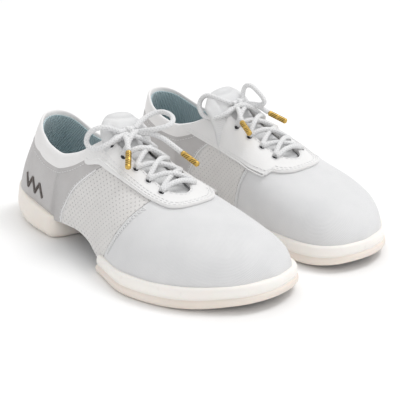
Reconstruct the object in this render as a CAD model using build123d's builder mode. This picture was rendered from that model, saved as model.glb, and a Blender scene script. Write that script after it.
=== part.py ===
from build123d import *
import math
import os

os.makedirs("parts", exist_ok=True)

# ---------------------------------------------------------------- driving dimensions (mm)
SOLE_LENGTH = 250.0        # heel to toe along the rubber
HALF_SPACING = 57.5        # from the pair's middle to the long axis of each shoe
BASE_Z = 10.0              # the upper's sides are upright below this height
LEAN_START_Z = 12.0
HEEL_STATION = 38.0        # behind this station the plan rounds into the heel
TOE_STATION = 248.0

# How far the outer and inner face of each layer lie inside the upper's outer form.
PANEL_LAYER = (0.0, 1.4)
STAY_LAYER = (-1.8, -0.3)
COLLAR_LAYER = (-1.2, 3.0)
MARK_LAYER = (-0.9, -0.15)
COUNTER_LAYER = (1.7, 2.9)
PUFF_LAYER = (1.7, 2.7)
VAMP_LINING_LAYER = (3.0, 4.2)
HEEL_LINING_LAYER = (3.3, 4.7)
TONGUE_LAYER = (5.2, 11.0)
CAVITY_INSET, BOARD_INSET, BED_INSET, LACE_REST = -0.6, 1.7, 5.2, -2.0

# Stations run from 0 at the heel to 250 at the toe, and w is positive toward the medial side.
MEDIAL_EDGE = ((38, 28.5), (70, 27), (105, 25.5), (140, 34), (168, 42), (190, 44.5), (213, 45.3),
               (230, 43), (242, 34), (248, 15.5))
LATERAL_EDGE = ((38, -28.5), (70, -31), (105, -33), (140, -40), (168, -46.5), (190, -44.3),
                (213, -34.5), (230, -22), (242, -7), (248, 15.5))
# Height of the instep ridge over the length, and the ridge's sideways position.
RIDGE = ((66, 160), (72, 132), (80, 112), (90, 98), (103, 86), (120, 75.5), (140, 65.5),
         (160, 57.5), (180, 51.5), (200, 47), (217, 43), (230, 38.5), (238, 33.5), (243.5, 27),
         (246.5, 20), (247.3, 14))
RIDGE_W = ((0, 8), (60, 8), (105, 5), (180, 5.5), (213, 6.5), (230, 10), (248, 15.5))
HEEL_BACK = ((0, 3.5), (14, 1.5), (24, 1.0), (36, 2.5), (50, 7), (62, 12), (72, 16), (82, 17),
             (110, 17))
LEVELS = (6, 14, 22, 29, 34.5, 39, 43, 47, 51.5, 57, 64, 73, 84, 96, 108)

# Plan outline of the rubber, anticlockwise from the heel: medial side out, lateral side back.
SOLE_PLAN = ((0, 0), (4, 14), (14, 25), (38, 31.5), (70, 30), (105, 28.5), (140, 37), (168, 45),
             (190, 47.2), (213, 48), (231, 45.8), (244, 36), (250, 16), (247, -3), (237, -18),
             (219, -34.5), (197, -45), (171, -49.7), (141, -43), (106, -36), (71, -34), (38, -31.5),
             (14, -23), (3, -14))
HEEL_POD_TOP = ((-2, 24), (20, 23), (45, 20.5), (66, 18), (84, 16.5))
FORE_POD_TOP = ((120, 11), (140, 13), (175, 14), (210, 15), (235, 17), (256, 19.5))
HEEL_POD_END, FORE_POD_START = 80.0, 131.0
# Underside of the upper: on the heel pod, over the open arch, and on the forefoot pod.
UNDERSIDE = ((-2, 13.5), (60, 13.5), (84, 15.5), (100, 16.5), (118, 14), (134, 8), (190, 7.5),
             (215, 8.7), (256, 14.5))
COLLAR_LINE = ((-6, 75.5), (16, 75.5), (24, 73), (36, 66.5), (50, 61.5), (66, 60), (80, 63),
               (96, 70.5), (108, 78.5), (118, 85.5))
COLLAR_DEPTH = 13.0

# Seams in side view: heel quarter to midfoot panel, and midfoot panel to vamp on each side.
QUARTER_SEAM = ((81, -2), (81, 21), (85, 32), (91, 43), (100, 52), (111, 61), (126, 71), (134, 84))
VAMP_SEAM_LATERAL = ((136, -2), (143, 14), (149, 24), (154, 33), (159, 43), (163, 51), (168, 70))
VAMP_SEAM_MEDIAL = ((134, -2), (139, 14), (142, 24), (145, 34), (149, 45), (152, 54), (156, 72))
SEAM_GAP = 0.3

# Lace stay outline in plan, and the throat slot inside it.
EYESTAY_PLAN = ((94, -16), (113, -17.5), (134, -18.3), (157, -17.8), (170, -15.5), (178, -12.5),
                (183, -6), (185, 3), (185, 12), (183, 19.5), (177, 26), (166, 29.5), (152, 29.5),
                (134, 27.5), (114, 26), (94, 24))
THROAT_W, THROAT_HALF, THROAT_END = 5.0, 10.0, 173.0
EYELET_ROWS = (113.0, 126.0, 139.0, 152.0, 165.0)
EYELET_OFFSET = 14.0       # from the throat's middle line
EYELET_R = 1.5
LACE_D = 3.6
AGLET_D, AGLET_LENGTH = 4.6, 15.5

# Tongue pad: plan outline, and the side view that it is cut to.
TONGUE_PLAN = ((82, 5), (86, -8), (98, -13.5), (130, -13.5), (156, -11), (166, -5), (168, 5),
               (166, 15), (156, 21), (130, 23.5), (98, 23.5), (86, 18))
TONGUE_SIDE = ((172, 34), (150, 42), (128, 53), (110, 65), (99, 77), (87, 93.5), (175, 93.5))

# Bow: knot centre (station, height) and size, then the routes of the loops and ends.
KNOT, KNOT_SIZE = (113.5, 81.5), (13.0, 9.5, 9.0)
RIGHT_ROUTES = {
    "lace_loop_lateral": ((113.5, -0.5, 83), (110, -6, 86.5), (106, -13, 88), (101.5, -18.5, 84.5),
                          (99.5, -20.5, 78), (103.5, -20.5, 73.8), (111, -19, 74.5),
                          (117, -13.5, 79), (118.5, -6, 82.5), (114.5, -0.5, 81.5)),
    "lace_loop_medial": ((113.5, 10.5, 83.5), (110.5, 18, 86.5), (110, 26.5, 89.5),
                         (113.5, 34, 91.5), (122, 35.5, 91), (131, 31.5, 89.5),
                         (134.5, 23.5, 87.5), (129, 15.5, 85.5), (121, 12, 83.5),
                         (115, 10, 81.5)),
    "lace_end_lateral": ((116.5, -0.5, 80.5), (121, -3, 82.5), (126.5, -5.5, 80.5),
                         (131, -8.5, 76), (141.3, -17.2, 68.3)),
    "lace_end_medial": ((117, 10, 80.5), (124, 14, 82.5), (132.5, 18.5, 80.5), (141, 21.8, 75.6),
                        (147.5, 23.7, 72), (161.5, 26.5, 65.9)),
}
LEFT_ROUTES = {
    "lace_loop_lateral": ((112, -0.5, 83.5), (108.5, -3.5, 89), (110, -5, 94.5), (116, -5.5, 95),
                          (122, -5.5, 92), (128, -5.5, 88.5), (130.5, -5.5, 84.5),
                          (126, -4.5, 82), (120, -2.5, 82.5), (115, -0.5, 81.5)),
    "lace_loop_medial": ((112, 10.5, 83), (108, 16, 85.5), (101.5, 19.5, 88), (95, 21, 88.5),
                         (90.5, 23, 84.5), (91.5, 25.5, 78.5), (97.5, 27, 74),
                         (105.5, 27, 73), (112.5, 24, 75.5), (116.5, 17.5, 79.5),
                         (115, 10.5, 81)),
    "lace_end_lateral": ((116.5, -0.5, 80.5), (122, -2.5, 82.5), (127.5, -5.5, 80), (131.5, -8, 77),
                         (144.5, -14.5, 71.3)),
    "lace_end_medial": ((117, 10, 80.5), (122, 13.5, 81.5), (127, 17, 79), (131.5, 19.8, 75.5),
                        (145.2, 24.3, 69.9)),
}
MARK_SIDE_VIEW = ((24, 36.5), (30, 27.5), (35, 34), (41, 25.5), (46, 31.5), (52, 24), (54, 26.5),
                  (46.5, 36), (41, 30), (35.5, 38.5), (30, 32), (26.5, 38))


# ---------------------------------------------------------------- helpers
def smooth(table, x):
    """Value at x of a smooth curve through a table of pairs, with no overshoot."""
    if x <= table[0][0]:
        return table[0][1]
    if x >= table[-1][0]:
        return table[-1][1]
    rise = [(b[1] - a[1]) / (b[0] - a[0]) for a, b in zip(table, table[1:])]
    tangent = [rise[0]]
    for a, b in zip(rise, rise[1:]):
        tangent.append(0 if a * b <= 0 else 2 * a * b / (a + b))
    tangent.append(rise[-1])
    i = max(k for k in range(len(table) - 1) if table[k][0] <= x)
    (x0, y0), (x1, y1) = table[i], table[i + 1]
    h = x1 - x0
    t = (x - x0) / h
    a = (1 + 2 * t) * (1 - t) ** 2 * y0 + t * t * (3 - 2 * t) * y1
    return a + h * (t * (1 - t) ** 2 * tangent[i] + t * t * (t - 1) * tangent[i + 1])


def clamp(x, low=0.0, high=1.0):
    return max(low, min(high, x))


def inset_ridge(inset):
    """The ridge line moved inward, square to itself, by the inset."""
    points = []
    for i, (s, z) in enumerate(RIDGE):
        a, b = RIDGE[max(i - 1, 0)], RIDGE[min(i + 1, len(RIDGE) - 1)]
        ds, dz = b[0] - a[0], b[1] - a[1]
        length = math.hypot(ds, dz)
        points.append((s + inset * dz / length, z - inset * ds / length))
    return points


def half_width(s, z, inset):
    """Middle and half width of the upper at a station and height, moved inward by the inset."""
    plan = clamp(s, HEEL_STATION, TOE_STATION)
    medial, lateral = smooth(MEDIAL_EDGE, plan), smooth(LATERAL_EDGE, plan)
    ridge = smooth(inset_ridge(inset), clamp(s, 66 - inset, 300))
    ridge = max(ridge, z + 0.001)
    middle, half = (medial + lateral) / 2, max((medial - lateral) / 2 - inset, 0.01)
    lean = clamp((z - LEAN_START_Z) / (min(ridge, 84.0) - LEAN_START_Z)) ** 1.2
    middle += (smooth(RIDGE_W, s) - middle) * lean
    arch = clamp(1 - clamp((z - BASE_Z) / (ridge - BASE_Z)) ** 2.5) ** (1 / 2.3)
    back = smooth(HEEL_BACK, z) + inset
    heel = math.sqrt(clamp(1 - clamp((HEEL_STATION - s) / (HEEL_STATION - back)) ** 2.2))
    narrow = 0.25 * clamp((150 - s) / 60) + 0.22 * clamp((70 - s) / 50)
    return middle, half * arch * heel * (1 - narrow * clamp((z - 20) / 60, 0, 1.1) ** 1.3)


def tip_station(z, inset):
    """Station where the ridge, moved inward, stands at this height."""
    low, high = 60.0, 252.0
    ridge = inset_ridge(inset)
    for _ in range(40):
        s = (low + high) / 2
        if s < ridge[-1][0] and smooth(ridge, s) > z:
            low = s
        else:
            high = s
    return low


def place(s, w, z=0.0):
    """Right shoe: station and sideways position to the pair's frame."""
    return (w - HALF_SPACING, SOLE_LENGTH / 2 - s, z)


def level_outline(z, inset):
    """Closed plan outline of the upper at one height."""
    back, tip = smooth(HEEL_BACK, z) + inset, tip_station(z, inset)
    points = []
    for i in range(24):
        angle = math.pi * i / 12
        s = back + (tip - back) * (1 - math.cos(angle)) / 2
        middle, half = half_width(s, z, inset)
        side = 0 if i in (0, 12) else (-1 if i < 12 else 1)
        points.append(place(s, middle + side * half)[:2])
    return points


def surface_z(s, w, inset):
    """Height of the upper's surface, moved inward by the inset, over a plan position."""
    low, high = BASE_Z, smooth(inset_ridge(inset), s)
    for _ in range(40):
        z = (low + high) / 2
        middle, half = half_width(s, z, inset)
        if abs(w - middle) < half:
            low = z
        else:
            high = z
    return low


def outline_spacing():
    """Share of the outline's length at each of its points, at the height where it is fullest."""
    points = level_outline(LEVELS[2], 0.0)
    spans = [math.dist(a, b) for a, b in zip(points, points[1:] + points[:1])]
    return [sum(spans[:i]) / sum(spans) for i in range(len(spans) + 1)]


def last_solid(inset):
    """The upper's outer form moved inward by the inset, as a solid."""
    spacing = outline_spacing()
    with BuildPart() as last:
        for z in LEVELS:
            with BuildSketch(Plane.XY.offset(z)):
                with BuildLine():
                    points = [Vector(*p) for p in level_outline(z, inset)]
                    add(Edge.make_spline(points, periodic=True, parameters=spacing))
                make_face()
        loft()
    return last.part


def side_prism(points, w_from=-80.0, w_to=80.0):
    """Prism across the shoe over a closed side-view outline of (station, height) points."""
    with BuildPart() as prism:
        with BuildSketch(Plane.YZ.offset(w_from - HALF_SPACING)):
            with BuildLine():
                Polyline(*[(SOLE_LENGTH / 2 - s, z) for s, z in points], close=True)
            make_face()
        extrude(amount=w_to - w_from)
    return prism.part


def curve_points(table, shift=0.0, steps=20):
    first, last = table[0][0], table[-1][0]
    xs = [first + (last - first) * i / steps for i in range(steps + 1)]
    return [(x, smooth(table, x) + shift) for x in xs]


def above(table, shift, top=140.0):
    """Everything over a side-view line."""
    line = curve_points(table, shift)
    return side_prism(line + [(line[-1][0], top), (line[0][0], top)])


def below(table, shift, bottom=-10.0):
    """Everything under a side-view line."""
    line = curve_points(table, shift)
    return side_prism(line + [(line[-1][0], bottom), (line[0][0], bottom)])


def shell(outer, inner, *cutters, keep=None):
    """Layer of the upper between two insets, less the cutters."""
    with BuildPart() as layer:
        add(LAST[outer])
        add(LAST[inner], mode=Mode.SUBTRACT)
        for cutter in cutters:
            add(cutter, mode=Mode.SUBTRACT)
        if keep is not None:
            add(keep, mode=Mode.INTERSECT)
    return layer.part


def plan_prism(points, height=130.0, z=-5.0):
    """Upright prism over a smooth closed plan outline of (station, sideways) points."""
    with BuildPart() as prism:
        with BuildSketch(Plane.XY.offset(z)):
            with BuildLine():
                Spline(*[place(s, w)[:2] for s, w in points], periodic=True)
            make_face()
        extrude(amount=height)
    return prism.part


def station_slab(s_from, s_to):
    """Everything between two stations."""
    return side_prism([(s_from, -10), (s_to, -10), (s_to, 140), (s_from, 140)])


def behind(table, shift, w_from=-80.0, w_to=80.0):
    """Everything on the heel side of a seam given as (station, height) points."""
    line = [(s + shift, z) for s, z in table]
    line = [(line[0][0], -12)] + line + [(line[-1][0] + 8, 140)]
    return side_prism(line + [(-60, 140), (-60, -12)], w_from, w_to)


def mean_radius(run_a, run_b, turn):
    """Largest tidy bend radius between two runs of a cord route."""
    return 0.45 * min(run_a, run_b) / math.tan(math.radians(turn) / 2)


def tube(points, diameter, name):
    """Round cord of straight runs joined by tangent arcs."""
    route = [Vector(*p) for p in points]
    runs = [b - a for a, b in zip(route, route[1:])]
    turns = [a.get_angle(b) for a, b in zip(runs, runs[1:])]
    radii = [mean_radius(a.length, b.length, turn) for a, b, turn in zip(runs, runs[1:], turns)]
    with BuildPart() as cord:
        with BuildLine() as path:
            FilletPolyline(*route, radius=radii)
        with BuildSketch(Plane(origin=path.line @ 0, z_dir=path.line % 0)):
            Circle(diameter / 2)
        sweep()
    length = sum(edge.length for edge in path.edges())
    expected = math.pi * diameter ** 2 / 4 * length
    print(name, "length", round(length, 1), "least radius", round(min(radii), 1),
          "volume ratio", round(cord.part.volume / expected, 3))
    return cord.part


# ---------------------------------------------------------------- right shoe
INSETS = {*PANEL_LAYER, *STAY_LAYER, *COLLAR_LAYER, *MARK_LAYER, *COUNTER_LAYER, *PUFF_LAYER,
          *VAMP_LINING_LAYER, *HEEL_LINING_LAYER, *TONGUE_LAYER, CAVITY_INSET, BOARD_INSET,
          BED_INSET, LACE_REST}
LAST = {inset: last_solid(inset) for inset in sorted(INSETS)}
under_board = below(UNDERSIDE, 0)
under_panels = below(UNDERSIDE, 2.5)
over_collar = above(COLLAR_LINE, 0)
throat = plan_prism([(92, THROAT_W - THROAT_HALF), (130, THROAT_W - THROAT_HALF),
                     (160, THROAT_W - THROAT_HALF), (169, THROAT_W - 7), (THROAT_END, THROAT_W),
                     (169, THROAT_W + 7), (160, THROAT_W + THROAT_HALF),
                     (130, THROAT_W + THROAT_HALF), (92, THROAT_W + THROAT_HALF),
                     (80, THROAT_W)])

with BuildPart() as heel_sole:
    add(plan_prism(SOLE_PLAN, 60.0, 0.0))
    add(LAST[CAVITY_INSET] - below(UNDERSIDE, -0.4), mode=Mode.SUBTRACT)
    add(above(HEEL_POD_TOP, 0), mode=Mode.SUBTRACT)
    add(station_slab(HEEL_POD_END, 300), mode=Mode.SUBTRACT)

with BuildPart() as forefoot_sole:
    add(plan_prism(SOLE_PLAN, 60.0, 0.0))
    add(LAST[CAVITY_INSET] - below(UNDERSIDE, -0.4), mode=Mode.SUBTRACT)
    add(above(FORE_POD_TOP, 0), mode=Mode.SUBTRACT)
    add(station_slab(-50, FORE_POD_START), mode=Mode.SUBTRACT)
    add(side_prism([(195, 0), (206, 0.3), (217, 1.0), (228, 2.2), (239, 4.0), (252, 6.6),
                    (252, -5), (195, -5)]), mode=Mode.SUBTRACT)

with BuildPart() as insole_board:
    add(LAST[BOARD_INSET])
    add(under_board, mode=Mode.SUBTRACT)
    add(above(UNDERSIDE, 2.2), mode=Mode.SUBTRACT)

with BuildPart() as footbed:
    add(LAST[BED_INSET])
    add(under_panels, mode=Mode.SUBTRACT)
    add(above(UNDERSIDE, 6.5), mode=Mode.SUBTRACT)

collar_top = above(COLLAR_LINE, -COLLAR_DEPTH)
quarter_zone = behind(QUARTER_SEAM, 0)
with BuildPart() as quarter:
    add(shell(*PANEL_LAYER, under_board, above(COLLAR_LINE, -COLLAR_DEPTH - SEAM_GAP), throat,
              keep=quarter_zone))

with BuildPart() as midfoot_lateral:
    add(shell(*PANEL_LAYER, under_board, over_collar, throat, behind(QUARTER_SEAM, SEAM_GAP),
              keep=behind(VAMP_SEAM_LATERAL, 0, -80, THROAT_W)))

with BuildPart() as midfoot_medial:
    add(shell(*PANEL_LAYER, under_board, over_collar, throat, behind(QUARTER_SEAM, SEAM_GAP),
              keep=behind(VAMP_SEAM_MEDIAL, 0, THROAT_W, 80)))

with BuildPart() as vamp:
    add(shell(*PANEL_LAYER, under_board, throat, behind(VAMP_SEAM_LATERAL, SEAM_GAP, -80, THROAT_W),
              behind(VAMP_SEAM_MEDIAL, SEAM_GAP, THROAT_W, 80)))

with BuildPart() as collar:
    add(shell(*COLLAR_LAYER, over_collar, below(COLLAR_LINE, -COLLAR_DEPTH), throat,
              keep=station_slab(-50, 96)))

with BuildPart() as heel_counter:
    add(shell(*COUNTER_LAYER, under_panels, above(COLLAR_LINE, -COLLAR_DEPTH - 1),
              keep=station_slab(-50, 66)))

with BuildPart() as heel_lining:
    add(shell(*HEEL_LINING_LAYER, under_panels, above(COLLAR_LINE, -2), throat,
              keep=station_slab(-50, 118)))

with BuildPart() as vamp_lining:
    add(shell(*VAMP_LINING_LAYER, under_panels, above(COLLAR_LINE, -2), throat,
              keep=station_slab(118.3, 300)))

with BuildPart() as toe_puff:
    add(shell(*PUFF_LAYER, under_panels, keep=station_slab(212, 300)))

with BuildPart() as eyestay:
    add(shell(*STAY_LAYER, above(COLLAR_LINE, 0.5), throat, station_slab(-50, 97),
              keep=plan_prism(EYESTAY_PLAN, 90.0, 40.0)))
    for row in EYELET_ROWS:
        for side in (-1, 1):
            x, y, z = place(row, THROAT_W + side * EYELET_OFFSET, 0)
            with Locations((x, y, z)):
                Cylinder(EYELET_R, 130, align=(Align.CENTER, Align.CENTER, Align.MIN),
                         mode=Mode.SUBTRACT)

with BuildPart() as tongue:
    add(shell(*TONGUE_LAYER, keep=plan_prism(TONGUE_PLAN)))
    add(side_prism(TONGUE_SIDE), mode=Mode.INTERSECT)

with BuildPart() as heel_mark:
    add(shell(*MARK_LAYER, keep=side_prism(MARK_SIDE_VIEW, -80, 0)))


# ---------------------------------------------------------------- laces
def strand(row_a, side, row_b):
    """One lace run over the throat, from an eyelet on one side to a row on the other side."""
    points = []
    for f, lift in ((0, 2.9), (0.28, 3.4), (0.5, 3.6), (0.72, 3.4), (1, 2.9)):
        s = row_a + (row_b - row_a) * f
        w = THROAT_W + side * EYELET_OFFSET * (1 - 2 * f)
        points.append(place(s, w, surface_z(s, w, STAY_LAYER[0]) + lift))
    return tube(points, LACE_D, "lacing strand")


def end_tie(side):
    """Short run from the top eyelet to the side of the knot."""
    row = EYELET_ROWS[0]
    w = THROAT_W + side * EYELET_OFFSET
    start = place(row, w, surface_z(row, w, STAY_LAYER[0]) + 2.9)
    finish = place(KNOT[0], THROAT_W + side * KNOT_SIZE[0] / 2, KNOT[1] - 1.0)
    middle = ((start[0] + finish[0]) / 2, start[1], (start[2] + finish[2]) / 2 + 0.8)
    return tube([start, middle, finish], LACE_D, "top strand")


def aglet(start, end):
    """Metal tip over the last stretch of a lace end."""
    with BuildPart() as tip:
        with Locations(Plane(origin=start, z_dir=Vector(*end) - Vector(*start))):
            Cylinder(AGLET_D / 2, AGLET_LENGTH, align=(Align.CENTER, Align.CENTER, Align.MIN))
        chamfer(tip.edges().filter_by(GeomType.CIRCLE), 0.5)
    return tip.part


def lace_set(routes):
    """Free lace pieces of one shoe, from routes given as (station, sideways, height) points."""
    pieces = {}
    for name, route in routes.items():
        points = [place(*p) for p in route]
        if name.startswith("lace_end"):
            tip_name = name.replace("lace_end", "aglet")
            with BuildPart() as tip:
                add(aglet(points[-2], points[-1]))
            pieces[tip_name] = tip
            points = points[:-1]
        with BuildPart() as cord:
            add(tube(points, LACE_D, name))
        pieces[name] = cord
    return pieces


with BuildPart() as lacing:
    for row_a, row_b in zip(EYELET_ROWS, EYELET_ROWS[1:]):
        add(strand(row_a, -1, row_b))
        add(strand(row_a, 1, row_b))
    add(strand(EYELET_ROWS[-1], -1, EYELET_ROWS[-1] + 1.5))
    add(end_tie(-1))
    add(end_tie(1))
    add(LAST[LACE_REST], mode=Mode.SUBTRACT)

with BuildPart() as lace_knot:
    with Locations(place(KNOT[0], THROAT_W, KNOT[1])):
        Box(*KNOT_SIZE)
    fillet(lace_knot.edges(), 2.6)

right_laces = lace_set(RIGHT_ROUTES)
left_laces = lace_set(LEFT_ROUTES)

# ---------------------------------------------------------------- both shoes
shared = {"heel_sole": heel_sole, "forefoot_sole": forefoot_sole, "insole_board": insole_board,
          "footbed": footbed, "quarter": quarter, "midfoot_lateral": midfoot_lateral,
          "midfoot_medial": midfoot_medial, "vamp": vamp, "collar": collar,
          "heel_counter": heel_counter, "heel_lining": heel_lining, "vamp_lining": vamp_lining,
          "toe_puff": toe_puff, "eyestay": eyestay, "tongue": tongue, "heel_mark": heel_mark,
          "lacing": lacing, "lace_knot": lace_knot}

for name, piece in {**shared, **right_laces}.items():
    piece.part.label = "right_" + name
    export_step(piece.part, f"parts/right_{name}.step")

for name, piece in {**shared, **left_laces}.items():
    with BuildPart() as mirrored:
        add(mirror(piece.part, Plane.YZ))
    mirrored.part.label = "left_" + name
    export_step(mirrored.part, f"parts/left_{name}.step")
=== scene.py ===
import bpy
import bmesh
import math
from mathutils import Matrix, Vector, kdtree


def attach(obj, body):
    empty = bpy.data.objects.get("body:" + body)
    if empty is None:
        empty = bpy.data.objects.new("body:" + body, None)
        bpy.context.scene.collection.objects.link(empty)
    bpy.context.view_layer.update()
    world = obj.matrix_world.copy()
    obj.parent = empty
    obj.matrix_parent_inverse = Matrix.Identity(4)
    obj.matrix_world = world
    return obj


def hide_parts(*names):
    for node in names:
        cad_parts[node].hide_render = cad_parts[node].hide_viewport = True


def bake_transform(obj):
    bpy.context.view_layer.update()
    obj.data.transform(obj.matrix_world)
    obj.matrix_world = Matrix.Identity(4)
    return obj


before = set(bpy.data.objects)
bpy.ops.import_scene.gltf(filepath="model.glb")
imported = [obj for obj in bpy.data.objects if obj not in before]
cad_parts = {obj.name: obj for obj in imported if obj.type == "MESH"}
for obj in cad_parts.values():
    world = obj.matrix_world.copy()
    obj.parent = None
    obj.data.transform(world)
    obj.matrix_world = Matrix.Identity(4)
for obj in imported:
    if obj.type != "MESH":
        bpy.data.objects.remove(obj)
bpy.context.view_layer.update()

MM = 0.001
scene = bpy.context.scene

# ------------------------------------------------------------------ camera
AZ, EL, DIST = math.radians(-41.96), math.radians(21.28), 0.7048
target = Vector((-0.01143, -0.01606, 0.030))
away = Vector((math.sin(AZ) * math.cos(EL), -math.cos(AZ) * math.cos(EL), math.sin(EL)))
cam = bpy.data.cameras.new("camera")
cam.lens, cam.sensor_width = 89.9, 36.0
cam.clip_start, cam.clip_end = 0.01, 50
camera = bpy.data.objects.new("camera", cam)
camera.location = target + away * DIST
camera.rotation_euler = away.to_track_quat("Z", "Y").to_euler()
scene.collection.objects.link(camera)
scene.camera = camera
scene.view_settings.view_transform = "Standard"

# ------------------------------------------------------------------ the shoe's form (mm)
# s runs from the heel to the toe, w is positive toward the medial side, z is up.
LENGTH, SPACING = 250.0, 57.5
MEDIAL = ((38, 28.5), (70, 27), (105, 25.5), (140, 34), (168, 42), (190, 44.5), (213, 45.3),
          (230, 43), (242, 34), (248, 15.5))
LATERAL = ((38, -28.5), (70, -31), (105, -33), (140, -40), (168, -46.5), (190, -44.3),
           (213, -34.5), (230, -22), (242, -7), (248, 15.5))
RIDGE = ((66, 160), (72, 132), (80, 112), (90, 98), (103, 86), (120, 75.5), (140, 65.5),
         (160, 57.5), (180, 51.5), (200, 47), (217, 43), (230, 38.5), (238, 33.5), (243.5, 27),
         (246.5, 20), (247.3, 14))
RIDGE_W = ((0, 8), (60, 8), (105, 5), (180, 5.5), (213, 6.5), (230, 10), (248, 15.5))
HEEL_BACK = ((0, 3.5), (14, 1.5), (24, 1.0), (36, 2.5), (50, 7), (62, 12), (72, 16), (82, 17),
             (110, 17))
SOLE_PLAN = ((0, 0), (4, 14), (14, 25), (38, 31.5), (70, 30), (105, 28.5), (140, 37), (168, 45),
             (190, 47.2), (213, 48), (231, 45.8), (244, 36), (250, 16), (247, -3), (237, -18),
             (219, -34.5), (197, -45), (171, -49.7), (141, -43), (106, -36), (71, -34), (38, -31.5),
             (14, -23), (3, -14))
HEEL_TOP = ((-2, 24), (20, 23), (45, 20.5), (66, 18), (84, 16.5))
FORE_TOP = ((120, 11), (140, 13), (175, 14), (210, 15), (235, 17), (256, 19.5))
UNDERSIDE = ((-2, 13.5), (60, 13.5), (84, 15.5), (100, 16.5), (118, 14), (134, 8), (190, 7.5),
             (215, 8.7), (256, 14.5))
COLLAR_LINE = ((-6, 75.5), (16, 75.5), (24, 73), (36, 66.5), (50, 61.5), (66, 60), (80, 63),
               (96, 70.5), (108, 78.5), (118, 85.5))
QUARTER_SEAM = ((-2, 81), (21, 81), (32, 85), (43, 91), (52, 100), (61, 111), (71, 126), (84, 134))
VAMP_LATERAL = ((-2, 136), (14, 143), (24, 149), (33, 154), (43, 159), (51, 163), (70, 168))
VAMP_MEDIAL = ((-2, 134), (14, 139), (24, 142), (34, 145), (45, 149), (54, 152), (72, 156))
EYESTAY = ((94, -16), (113, -17.5), (134, -18.3), (157, -17.8), (170, -15.5), (178, -12.5),
           (183, -6), (185, 3), (185, 12), (183, 19.5), (177, 26), (166, 29.5), (152, 29.5),
           (134, 27.5), (114, 26), (94, 24))
STAY_MEDIAL = ((60, 61), (76, 59), (92, 55), (109, 52), (127, 51), (142, 50), (154, 48.3),
               (168, 47), (176, 46))
THROAT_W = 5.0  # middle of the throat across the shoe
ROWS = (113.0, 126.0, 139.0, 152.0, 165.0)  # stations of the lace rows
EYELET = 14.0  # eyelets out from the throat's middle
LACE_R = 1.8
STAY_LIFT = 1.8  # outer face of the lace stay above the panels
HEEL_S = 38  # where the heel's rounding starts
COLLAR_S = 118  # front ends of the collar
BASE_Z = 10  # height under which the upper's sides stand straight
SEAM_GAP = 0.3
FAR = 5  # any distance that counts as well inside
EDGE_ROUND = 0.35
COLLAR_BAND = ((0, 17), (38, 14), (70, 11.5), (96, 9), (112, 7))
TOE_SPRING = ((190, 0), (195, 0), (206, 0.3), (217, 1.0), (228, 2.2), (239, 4.0), (252, 6.6))
# Pod walls from the ground up: share of the height, and how far the wall stands out.
HEEL_WALL = ((0.0, -5.5), (0.0, -4.2), (0.02, -2.9), (0.07, -1.3), (0.15, 0.1), (0.26, 0.95),
             (0.38, 1.15), (0.52, 0.9), (0.66, 0.4), (0.8, -0.1), (0.9, -0.5), (0.96, -0.8),
             (0.99, -1.3), (1.0, -2.0))
FORE_WALL = ((0.0, -3.2), (0.0, -1.9), (0.02, -0.9), (0.07, 0.2), (0.15, 0.8), (0.27, 1.0),
             (0.36, 0.85), (0.42, 0.4), (0.445, -0.35), (0.47, -0.6), (0.50, -0.5),
             (0.54, -0.1), (0.62, 0.1), (0.78, 0.0), (0.88, -0.2), (0.94, -0.6), (0.985, -1.2),
             (1.0, -1.9))


def clamp(x, low=0.0, high=1.0):
    return max(low, min(high, x))


def squared(x, power):
    """A sine or cosine raised to a power with its sign kept, which squares a round section off."""
    return math.copysign(abs(x) ** power, x)


class Curve:
    """Smooth curve through a table of pairs, with no overshoot."""

    def __init__(self, table):
        self.x = [p[0] for p in table]
        self.y = [p[1] for p in table]
        rise = [(b[1] - a[1]) / (b[0] - a[0]) for a, b in zip(table, table[1:])]
        self.m = ([rise[0]] + [0 if a * b <= 0 else 2 * a * b / (a + b)
                               for a, b in zip(rise, rise[1:])] + [rise[-1]])

    def __call__(self, v):
        x, y, m = self.x, self.y, self.m
        if v <= x[0]:
            return y[0]
        if v >= x[-1]:
            return y[-1]
        i = 0
        while x[i + 1] < v:
            i += 1
        h = x[i + 1] - x[i]
        t = (v - x[i]) / h
        a = (1 + 2 * t) * (1 - t) ** 2 * y[i] + t * t * (3 - 2 * t) * y[i + 1]
        return a + h * (t * (1 - t) ** 2 * m[i] + t * t * (t - 1) * m[i + 1])


medial, lateral, ridge_w = Curve(MEDIAL), Curve(LATERAL), Curve(RIDGE_W)
heel_back, underside, collar_line = Curve(HEEL_BACK), Curve(UNDERSIDE), Curve(COLLAR_LINE)
quarter_seam, vamp_lat, vamp_med = Curve(QUARTER_SEAM), Curve(VAMP_LATERAL), Curve(VAMP_MEDIAL)
collar_band, stay_medial = Curve(COLLAR_BAND), Curve(STAY_MEDIAL)
ridges = {}


def ridge(s, inset):
    """Height of the instep ridge, moved inward by the inset."""
    if inset not in ridges:
        points = []
        for i, (a, z) in enumerate(RIDGE):
            p, q = RIDGE[max(i - 1, 0)], RIDGE[min(i + 1, len(RIDGE) - 1)]
            ds, dz = q[0] - p[0], q[1] - p[1]
            n = math.hypot(ds, dz)
            points.append((a + inset * dz / n, z - inset * ds / n))
        ridges[inset] = Curve(points)
    return ridges[inset](s)


def section(s, z, inset):
    """Middle and half width of the upper before the instep rounds it."""
    plan = clamp(s, HEEL_S, 248)
    a, b = medial(plan), lateral(plan)
    high = ridge(clamp(s, 66 - inset, 300), inset)
    lean = clamp((z - 12) / max(min(high, 84) - 12, 1)) ** 1.2
    middle = (a + b) / 2
    middle += (ridge_w(s) - middle) * lean
    narrow = 0.25 * clamp((150 - s) / 60) + 0.22 * clamp((70 - s) / 50)
    half = max((a - b) / 2 - inset, 0.01) * (1 - narrow * clamp((z - 20) / 60, 0, 1.1) ** 1.3)
    return middle, half, high


def arch(z, high):
    """How far the instep's rounding has closed the section at height z."""
    return clamp(1 - clamp((z - BASE_Z) / max(high - BASE_Z, 0.1)) ** 2.5) ** (1 / 2.3)


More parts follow.
